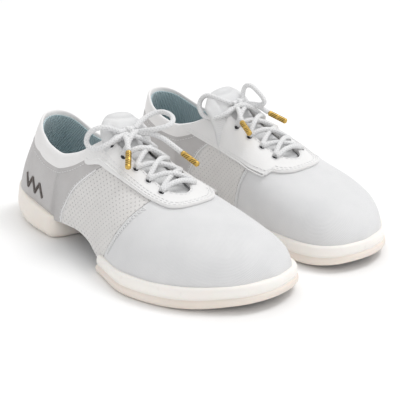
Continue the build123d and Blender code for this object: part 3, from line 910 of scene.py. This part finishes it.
def pod(name, side, heel, materials):
    """Rubber pod: flared foot, band and rolled top rim round the sole's outline.

    The forefoot pod also has a groove under its rim, where its second material starts. The skin
    runs from the underside's inner ring up to the ring inside the rim, so the middle is open."""
    cut, round_by = (80.0, 13.0) if heel else (131.0, 7.0)
    kept = from_gap([p for p in closed_curve(SOLE_PLAN, 12)
                     if (p[0] < cut - round_by if heel else p[0] > cut + round_by)])
    a, b = Vector(kept[-1]), Vector(kept[0])
    bow = round_by if heel else -round_by
    for k in range(1, 22):
        f = k / 22
        share = 0.5 - 0.5 * math.cos(math.pi * f)
        kept.append(tuple(a.lerp(b, share) + Vector((bow * math.sin(math.pi * f) ** 0.8, 0))))
    line = closed_curve(kept, 2)
    n = len(line)
    turn = turning(line)
    inward = []
    for i in range(n):
        d = Vector(line[(i + 1) % n]) - Vector(line[i - 1])
        v = Vector((-d[1], d[0])).normalized()
        inward.append(v if turn > 0 else -v)
    top_line = Curve(HEEL_TOP if heel else FORE_TOP)
    spring = Curve(TOE_SPRING)
    ground = [0 if heel else spring(s) for s, w in line]
    tops = []
    for s, w in line:
        far = clamp((s - cut + 8) / 7) if heel else clamp((cut + 5 - s) / 4)
        tops.append(top_line(s) * (1 - far) + (underside(s) - 0.3) * far)
    for _ in range(3):
        tops = [(tops[i - 1] + tops[i] + tops[(i + 1) % n]) / 3 for i in range(n)]

    def reach(i, z):
        """How far in from the outline the upper's side stands at height z."""
        for step in range(60):
            d = step * 0.2
            s, w = Vector(line[i]) + inward[i] * d
            middle, half, high = section(s, z, 0)
            heel_f = heel_round(s, heel_back(z))
            if high > z and abs(w - middle) < half * arch(z, high) * heel_f:
                return d
        return 5.0

    def ring(f, out):
        """Ring at a share of the wall's height, standing out by a number of mm."""
        points = []
        for i in range(n):
            p = Vector(line[i]) - inward[i] * out
            points.append((p[0], p[1], ground[i] + f * (tops[i] - ground[i])))
        return points

    def foot_ring(inset, lift):
        """Ring on the underside, moved in from the outline and lifted off the ground."""
        points = [Vector(line[i]) + inward[i] * inset for i in range(n)]
        return [(p[0], p[1], z + lift) for p, z in zip(points, ground)]

    def inner_ring(drop):
        """Ring down inside the rim, against the upper."""
        points = []
        for i in range(n):
            p = Vector(line[i]) + inward[i] * (reach(i, tops[i] - 0.3) + 0.25 + 0.02 * drop)
            points.append((p[0], p[1], tops[i] - drop))
        return points

    inset, groove = 7.0, 10
    rings = [foot_ring(inset, 1.0), foot_ring(inset - 0.7, 0.15)]
    rings += [ring(f, out) for f, out in (HEEL_WALL if heel else FORE_WALL)]
    rings += [inner_ring(drop) for drop in (0.3, 1.6, 4.0)]
    verts, faces = loft(rings, capped=False)
    mats = []
    for i in range(len(rings) - 1):
        mats += [0 if i < groove or heel else 1] * n
    if turn < 0:
        faces = [tuple(reversed(f)) for f in faces]
    uvs = [(float(k), p[2]) for ring_points in rings for k, p in enumerate(ring_points)]
    obj = outward(make(name, side, verts, faces, materials, uvs, mats), join=True)
    obj.data.set_sharp_from_angle(angle=math.radians(50))
    obj.data.shade_smooth()
    return obj


def collar_piece(foot, side):
    """Padded collar: a rolled band round the opening, fuller at the heel, tapering forward."""
    rings = []
    steps = 120
    for i in range(steps + 1):
        p = 3.0 * i / steps
        fade = clamp(min(p, 3 - p) / 0.12)
        ring = []
        s = around(p, 75)[0]
        top = collar_line(s) + 1.2
        deep = collar_band(s)
        for k in range(26):
            a = 2 * math.pi * k / 26
            flat = squared(math.sin(a), 0.8)
            z = top - deep / 2 + (deep / 2) * flat * (0.7 + 0.3 * fade)
            full = 1.0 - 0.35 * clamp((top - z) / deep) ** 2
            inset = 1.2 + 2.35 * squared(math.cos(a), 0.75) * full * (0.55 + 0.45 * fade)
            ring.append(around(p, z, inset))
        rings.append(ring)
    verts, faces = loft(rings)
    n = len(rings[0])
    uvs = [(i // n * 2.0, i % n * 1.2) for i in range(len(verts))]
    return outward(make(foot + "_collar_pad", side, verts, faces, [collar_leather], uvs))


TONGUE_HALF = Curve(((90, 17), (98, 19), (106, 20), (130, 20.5), (156, 17.5), (171, 11)))
TONGUE_TIP, TONGUE_FRONT = 97.0, 171
TONGUE_PLUMP = 0.92  # how full the tongue is before the cloth simulation puffs it


def tongue_z(s, w):
    """Middle of the tongue's thickness: under the stay, and standing off the instep behind the knot."""
    flat = 0.55 * clamp((120 - s) / 15)
    return top_z(s, THROAT_W + (w - THROAT_W) * (1 - flat), 4.4) + 7 * clamp((119 - s) / 22) ** 1.3


def tongue_piece(foot, side):
    """Thick soft tongue on the instep's slope, with a sewn centre panel."""
    rings, groove, steps = [], 11.0, 72
    for i in range(steps + 1):
        s = TONGUE_FRONT - (TONGUE_FRONT - TONGUE_TIP) * math.sin(math.pi / 2 * i / steps)
        up, front = clamp((s - TONGUE_TIP) / 8), clamp((TONGUE_FRONT - s) / 6)
        close = max(math.sqrt(clamp(1 - (1 - up) ** 2) * clamp(1 - (1 - front) ** 2)), 0.07)
        thick = (2.7 + 2.2 * clamp((120 - s) / 16)) * close * TONGUE_PLUMP
        half = TONGUE_HALF(s) * (0.42 + 0.58 * close)
        slope = (tongue_z(s + 1, 5) - tongue_z(s - 1, 5)) / 2
        n = Vector((-slope, 0, 1)).normalized()
        ring = []
        for k in range(52):
            a = 2 * math.pi * k / 52
            across = half * squared(math.cos(a), 0.8)
            w = THROAT_W + 5 * clamp((118 - s) / 18) + across
            puff = squared(math.sin(a), 0.75) * thick
            if puff > 0:
                seam = math.exp(-((abs(across) - groove) / 1.1) ** 2)
                puff *= 1 - 0.42 * seam * clamp((s - TONGUE_TIP - 3) / 4)
                puff *= 1 - 0.30 * math.exp(-((s - 101.5 + 0.02 * across ** 2) / 0.9) ** 2)
            ring.append(tuple(Vector((s, w, tongue_z(s, clamp(w, -15, 26)))) + n * puff))
        rings.append(ring)
    verts, faces = loft(rings)
    n = len(rings[0])
    uvs = [(i // n * 1.15, i % n * 1.2) for i in range(len(verts))]
    obj = make(foot + "_tongue_pad", side, verts, faces, [tongue_cloth], uvs)
    return outward(obj)


def strand_points(row_a, row_b, way):
    """One strand across the throat between two rows, standing over the lace stay."""
    points = []
    for f, lift in ((0, 2.9), (0.28, 3.4), (0.5, 3.6), (0.72, 3.4), (1, 2.9)):
        s = row_a + (row_b - row_a) * f
        w = THROAT_W + way * EYELET * (1 - 2 * f)
        points.append((s, w, top_z(s, w, -STAY_LIFT) + lift))
    return points


def lacing_piece(foot, side):
    """Criss-cross lacing between the eyelet rows, and the two ends up to the knot."""
    routes = []
    under = 1.6  # how far the strands' ends dip into the eyelets
    for i, (low, high) in enumerate(zip(ROWS[1:], ROWS)):
        for way in (-1, 1):
            route = strand_points(low, high, way)
            lift = 1.3 if way == (1 if i % 2 else -1) else -0.6
            route = [(s, w, z + lift * math.sin(math.pi * k / 4) - (under if k in (0, 4) else 0))
                     for k, (s, w, z) in enumerate(route)]
            routes.append(smooth_route("strand", route, side, 6))
    bar = [(s, w, z - (under if k in (0, 4) else 0)) for k, (s, w, z) in
           enumerate(strand_points(ROWS[-1], ROWS[-1] + 1.5, -1))]
    routes.append(smooth_route("strand", bar, side, 6))
    for way in (-1, 1):
        w = THROAT_W + way * EYELET
        z = top_z(ROWS[0], w, -STAY_LIFT)
        rise = [(113, w, z + 1.3), (113.5, w - way * 1.5, z + 4.0),
                (114.3, THROAT_W + way * 9, (z + 81) / 2 + 3), (114.5, THROAT_W + way * 5, 80.5)]
        routes.append(smooth_route("strand", rise, side, 6))
    return tube_object(foot + "_lacing_braid", routes, LACE_R * MM, lace_cloth)


def knot_piece(foot, side):
    """Bow knot: one turn of lace round the middle, over the crossing strands beneath it."""
    wrap = []
    for k in range(28):
        a = 2 * math.pi * k / 28
        wrap.append(to_frame((113.6 + 3.5 * math.cos(a), THROAT_W + 0.9 * math.sin(2 * a),
                              81.6 + 3.1 * math.sin(a)), side))
    routes = [smooth_route("strand", p, side, 8) for p in (
        [(113.2, -1.2, 83.0), (112.6, 1.6, 84.2), (113.4, 5, 82.6), (112.6, 8.4, 84.2),
         (113.2, 11.2, 83.4)],
        [(115.2, -1.2, 81.4), (116.2, 1.6, 82.4), (114.8, 5, 81.0), (116.2, 8.4, 82.4),
         (115.0, 11.2, 81.4)],
        [(116.2, -1.0, 80.4), (115.4, 2, 79.0), (114, 5, 78.8), (115.4, 8, 79.0),
         (116.6, 10.6, 80.4)])]
    verts, uvs, faces = tube_mesh([wrap], (LACE_R + 0.15) * MM, closed=True)
    more, more_uv, more_faces = tube_mesh(routes, LACE_R * MM)
    shift = len(verts)
    mesh = bpy.data.meshes.new(foot + "_knot_wrap")
    mesh.from_pydata(verts + more, [], faces + [tuple(i + shift for i in f) for f in more_faces])
    layer = mesh.uv_layers.new(name="surface")
    every = uvs + more_uv
    for loop in mesh.loops:
        layer.data[loop.index].uv = every[loop.vertex_index]
    return new_object(foot + "_knot_wrap", mesh, [lace_cloth])


def aglet_piece(foot, side, word, start, end):
    """Knurled metal tip with raised bands, on the lace's end."""
    a, b = to_frame(start, side), to_frame(end, side)
    way = (b - a).normalized()
    x = way.orthogonal().normalized()
    y = way.cross(x)
    verts, faces, mats, wide, count = [], [], [], 32, 76
    length, radius = 15.5, 2.05
    for i in range(count):
        f = i / (count - 1)
        z = f * length
        smooth_end = clamp(min(f, 1 - f) / 0.09)
        r = radius * math.sqrt(clamp(1 - (1 - smooth_end) ** 2, 0.18, 1))
        knurled = 0.13 < f < 0.87 and abs(f - 0.5) > 0.03
        for k in range(wide):
            t = 2 * math.pi * k / wide
            cut = 0
            if knurled:
                cut = 0.32 * clamp(1 - 1.6 * abs(math.sin(2 * t + z * 1.9)))
            verts.append(a + way * z * MM + (x * math.cos(t) + y * math.sin(t)) * (r - cut) * MM)
    for i in range(count - 1):
        f = i / (count - 1)
        for k in range(wide):
            p, q = i * wide + k, i * wide + (k + 1) % wide
            faces.append((p, q, q + wide, p + wide))
            t, z = 2 * math.pi * (k + 0.5) / wide, (f + 0.006) * length
            deep = abs(math.sin(2 * t + z * 1.9)) < 0.45
            # faces deep in the knurl's grooves take the darker brass as painted shade
            mats.append(1 if deep and 0.13 < f < 0.86 and abs(f - 0.5) > 0.035 else 0)
    faces.append(tuple(reversed(range(wide))))
    faces.append(tuple(range(len(verts) - wide, len(verts))))
    mats += [1, 0]
    mesh = bpy.data.meshes.new(foot + "_aglet_" + word)
    mesh.from_pydata(verts, [], faces)
    for poly, index in zip(mesh.polygons, mats):
        poly.material_index = index
    obj = new_object(foot + "_aglet_tip_" + word, mesh, [brass, knurl_shade_brass])
    mesh.set_sharp_from_angle(angle=math.radians(40))
    return settle(obj, foot, ["aglet_" + word], "front")


def eyelet_piece(foot, side):
    """Slotted eyelets in the lace stay: a flat slot in painted shade with a sewn rim each."""
    verts, faces, mats = [], [], []
    turns, sides_n, fat = 20, 6, 0.38

    def add(s, w, lift):
        verts.append((s, w, top_z(s, w, -STAY_LIFT) + lift))

    for row in ROWS:
        for way in (-1, 1):
            middle = THROAT_W + way * EYELET
            angles = [math.pi * k / (turns / 2) for k in range(turns)]
            first = len(verts)
            for t in angles:
                add(row + 2.2 * math.cos(t), middle + 1.6 * math.sin(t), 0.08)
            faces.append(tuple(first + k for k in range(turns)))
            first = len(verts)
            for t in angles:
                for j in range(sides_n):
                    u = math.pi * j / (sides_n / 2)
                    add(row + (2.4 + fat * math.cos(u)) * math.cos(t),
                        middle + (1.8 + fat * math.cos(u)) * math.sin(t), 0.1 + fat * math.sin(u))
            for k in range(turns):
                for j in range(sides_n):
                    a, c = first + k * sides_n, first + (k + 1) % turns * sides_n
                    b = (j + 1) % sides_n
                    faces.append((a + j, a + b, c + b, c + j))
            mats += [1] + [0] * (turns * sides_n)
    obj = make(foot + "_eyelets", side, verts, faces, [thread, hole_dark], face_mats=mats)
    return settle(obj, foot, [], "front")


def seam_line(seam, side_of, low, high, shift, lift=0.15):
    """Line up one side along a seam, moved forward by the shift."""
    count = int((high - low) / 0.8)
    zs = [low + (high - low) * i / count for i in range(count + 1)]
    return [side_point(seam(z) + shift, z, side_of, -lift) for z in zs]


def offset_outline(outline, d):
    """A closed outline moved sideways by a distance."""
    out, n = [], len(outline)
    for i in range(n):
        v = Vector(outline[(i + 1) % n]) - Vector(outline[i - 1])
        v = Vector((-v[1], v[0])).normalized()
        out.append(tuple(Vector(outline[i]) + v * d))
    return out


def stay_row(d, lift=0.12):
    """Line a distance inside the lace stay's outer edge, from the lateral back to the medial back."""
    line = offset_outline(eyestay_outline, d if turning(eyestay_outline) > 0 else -d)
    line = from_gap([p for p in line if p[0] > 97 and p[1] < 31 and (p[1] < 20 or p[0] > 171)])
    if line[0][1] > line[-1][1]:
        line.reverse()
    row = [(s, w, top_z(s, w, -STAY_LIFT) + lift) for s, w in line]
    s = min(line[-1][0] - 1.5, 169)
    while s > 80:
        row.append(side_point(s, stay_medial(s) + d, 1, -STAY_LIFT - lift))
        s -= 1.5
    return row


def stitching(foot, side):
    """Thread: double rows round the lace stay, zigzags at the vamp, rows on the collar and heel."""
    rows = [stay_row(1.7), stay_row(3.5)]
    edge = [to_frame(p, side) for p in stay_row(0.35, 0.05)]
    settle(tube_object(foot + "_stay_binding", [edge], 0.5 * MM, eyestay_leather), foot, [])
    throat = from_gap([p for p in closed_curve(throat_points(11.6, 170, 8.2, 174.8), 6)
                       if p[0] > 100])
    rows.append([(s, w, top_z(s, w, -STAY_LIFT) + 0.12) for s, w in throat])
    settle(stitches(foot + "_stay_stitches", side, rows, thread), foot, [])
    items = []
    for seam, which, high in ((vamp_lat, -1, 50), (vamp_med, 1, 52)):
        line = []
        z = 17.5
        while z < high:
            ahead = 0.8 if len(line) % 2 else 4.2
            line.append(Vector(side_point(seam(z) + ahead, z, which, -0.3)))
            z += 0.75
        for p, q in zip(line, line[1:]):
            items.append(((p + q) / 2, (q - p).normalized(), (q - p).length * 1.15))
    verts, faces = capsules(items, 0.45)
    settle(make(foot + "_vamp_zigzag", side, verts, faces, [thread]), foot, [],
           "front")
    rows = [seam_line(quarter_seam, which, 18, 58, shift) for which in (-1, 1) for shift in (2.2, -1.9)]
    line = []
    for i in range(160):
        p = 0.28 + 2.44 * i / 159
        s = around(p, 66)[0]
        line.append(around(p, collar_line(s) - collar_band(s) - 0.4, -0.2))
    rows.append(line)
    settle(stitches(foot + "_panel_stitches", side, rows, thread, 2.0, 0.9, 0.26), foot, [])
    pipes = [[to_frame(p, side) for p in seam_line(quarter_seam, which, 16.5, 60, 0.0, 0.25)]
             for which in (-1, 1)]
    pipe = tube_object(foot + "_seam_piping", pipes, 0.62 * MM, thread)
    settle(pipe, foot, [])


def heel_mark_piece(foot, side):
    """Plain zigzag embroidered on the outer heel in satin stitch."""
    items = []
    for (s0, z0), (s1, z1) in zip(MARK, MARK[1:]):
        count = int(math.dist((s0, z0), (s1, z1)) / 0.5)
        nx, nz = (z1 - z0), -(s1 - s0)
        size = math.hypot(nx, nz)
        for i in range(count + 1):
            f = i / count
            s, z = s0 + (s1 - s0) * f, z0 + (z1 - z0) * f
            a, b = (Vector(side_point(s + way * nx / size * 1.3, z + way * nz / size * 1.3, -1, -0.35))
                    for way in (-1, 1))
            items.append(((a + b) / 2, (b - a).normalized(), (b - a).length))
    verts, faces = capsules(items, 0.34)
    obj = make(foot + "_embroidery", side, verts, faces, [embroidery])
    return settle(obj, foot, ["heel_mark"], "rear")


def bed_piece(foot, side, node, cloth, inset, ends, bottom, top, dish):
    """A plate inside the upper, with rounded edges, whose top sinks by dish along its middle."""
    rings = []
    for i in range(61):
        s = ends[0] + (ends[1] - ends[0]) * (1 - math.cos(math.pi * i / 60)) / 2
        low, high = underside(s) + bottom, underside(s) + top
        ring = []
        for f, rise in ([(-0.97, 0), (-1, 0.5), (-0.98, 0.9)] + [(-0.9 + 0.15 * k, 1) for k in range(13)]
                        + [(0.98, 0.9), (1, 0.5), (0.97, 0)]):
            z = low + (high - low) * rise
            left, right = side_point(s, z, -1, inset)[1], side_point(s, z, 1, inset)[1]
            sink = dish * (1 - f * f) if rise == 1 else dish
            ring.append((s, (left + right) / 2 + f * (right - left) / 2, z - sink))
        rings.append(ring)
    verts, faces = loft(rings)
    obj = make(foot + "_" + node + "_sheet", side, verts, faces, [cloth], [(v[0], v[1]) for v in verts])
    return settle(outward(obj), foot, [node])


def shoe(foot, side, routes):
    """All the pieces of one shoe: side is 1 for the right and -1 for the left."""
    for node, cloth, slot, lift, thick in (
            ("quarter", quarter_cloth, "quarter_textile", 0, 1.4),
            ("midfoot_lateral", panel_cloth, "perforated_panel", 0, 1.4),
            ("midfoot_medial", panel_cloth, "perforated_panel", 0, 1.4),
            ("vamp", vamp_cloth, "vamp_textile", 0, 1.4),
            ("eyestay", eyestay_leather, "eyestay_leather", STAY_LIFT, 1.5),
            ("heel_lining", lining_cloth, "lining_textile", 0, 1.1),
            ("vamp_lining", lining_cloth, "lining_textile", 0, 1.1)):
        piece = panel(foot + "_" + node + "_sewn", side, CUTS[node], cloth, lift, thick)
        settle(piece, foot, [node])
    heel = pod(foot + "_heel_pod", side, True, [heel_rubber, heel_rubber])
    settle(heel, foot, ["heel_sole"], "rear")
    fore = pod(foot + "_forefoot_pod", side, False, [rim_rubber, band_rubber])
    settle(fore, foot, ["forefoot_sole"], "front")
    pad = settle(swell(collar_piece(foot, side), 2.0, 0.7), foot, ["collar"])
    tongue = settle(swell(tongue_piece(foot, side), 2.2, 1.2), foot, ["tongue"])
    bed_piece(foot, side, "footbed", bed_cloth, 5.4, (7.5, 239.5), 2.6, 6.4, 0.9)
    bed_piece(foot, side, "insole_board", board, 1.9, (4.6, 246.6), 0.1, 1.65, 0)
    settle(lacing_piece(foot, side), foot, ["lacing"], "front")
    knot = settle(knot_piece(foot, side), foot, ["lace_knot"], "front")
    for word in ("lateral", "medial"):
        a, b = routes["lace_end_" + word][-2:]
        aglet_piece(foot, side, word, a, b)
    for node, points in routes.items():
        end = node.startswith("lace_end")
        line = smooth_route(node, points[:-1] if end else points, side)
        cord = tube_object(foot + "_" + node + "_braid", [line], LACE_R * MM, lace_cloth)
        settle(cord, foot, [node], "front")
    eyelet_piece(foot, side)
    stitching(foot, side)
    heel_mark_piece(foot, side)


shoe("right", 1, RIGHT_ROUTES)
shoe("left", -1, LEFT_ROUTES)

for foot in ("right", "left"):
    for node, material in (("heel_counter", stiff), ("toe_puff", stiff)):
        obj = bpy.data.objects[foot + "_" + node]
        obj.data.materials.clear()
        obj.data.materials.append(material.material)

# ------------------------------------------------------------------ floor and light
floor_look = Look("floor", (0.96, 0.96, 0.96), 0.6)
floor_look.tint(floor_look.noise(3), (0.95, 0.95, 0.95), 0.3, 0.8)
mesh = bpy.data.meshes.new("floor")
mesh.from_pydata([(-6, -6, -0.0003), (6, -6, -0.0003), (6, 6, -0.0003), (-6, 6, -0.0003)], [],
                 [(0, 1, 2, 3)])
floor = new_object("floor", mesh, [floor_look.material])
world = bpy.data.worlds.new("studio")
scene.world = world
world.use_nodes = True
world.node_tree.nodes["Background"].inputs["Color"].default_value = (1, 1, 1, 1)
world.node_tree.nodes["Background"].inputs["Strength"].default_value = 0.78


def area_light(name, place, size, power, aim=(0, 0, 0.03)):
    data = bpy.data.lights.new(name, "AREA")
    data.shape, data.size, data.energy = "DISK", size, power
    lamp = bpy.data.objects.new(name, data)
    lamp.location = place
    lamp.rotation_euler = (Vector(place) - Vector(aim)).to_track_quat("Z", "Y").to_euler()
    scene.collection.objects.link(lamp)


area_light("key", (0.75, -0.35, 1.7), 0.7, 12)
area_light("fill", (-0.3, -1.5, 0.8), 1.2, 1.5)
area_light("back", (0.5, 1.2, 1.4), 1.0, 3)
